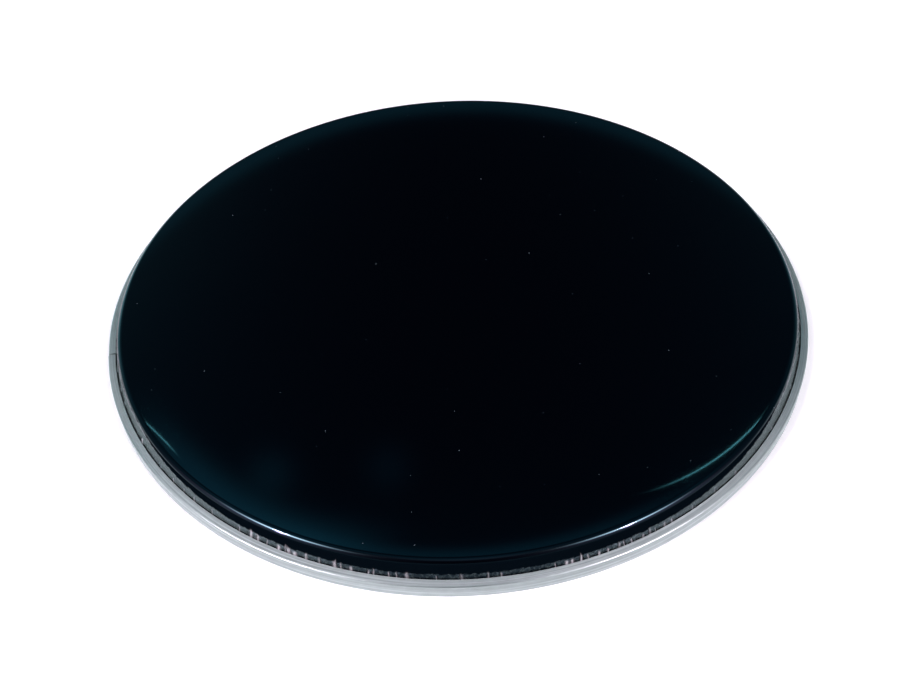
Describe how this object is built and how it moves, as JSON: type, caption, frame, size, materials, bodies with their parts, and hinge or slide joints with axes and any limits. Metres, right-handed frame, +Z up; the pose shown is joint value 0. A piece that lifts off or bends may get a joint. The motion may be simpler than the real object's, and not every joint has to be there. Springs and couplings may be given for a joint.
{
  "type": "drum head",
  "caption": "Round drum head: glossy black film with a flat top, rounded shoulder and leaning collar, its wired hem held in a rolled aluminium channel hoop with an open butt joint.",
  "frame": {"origin": "centre of the hoop's underside, on the axis of the head", "axes": "+Z up through the playing surface; the hoop's butt joint lies near -X, at a bearing of 191.7 degrees from +X"},
  "size_m": [0.4236, 0.4236, 0.018],
  "materials": {
    "film": "glossy black polyester film",
    "hoop": "satin, extruded and rolled",
    "wire": "drawn steel wire",
    "resin": "cast resin",
    "splice": "mill finish strip"
  },
  "bodies": {
    "root": {"drum_film": "film", "hoop_channel": "hoop", "lock_wire": "wire", "resin_bed": "resin", "joint_splice": "splice"}
  },
  "joints": []
}
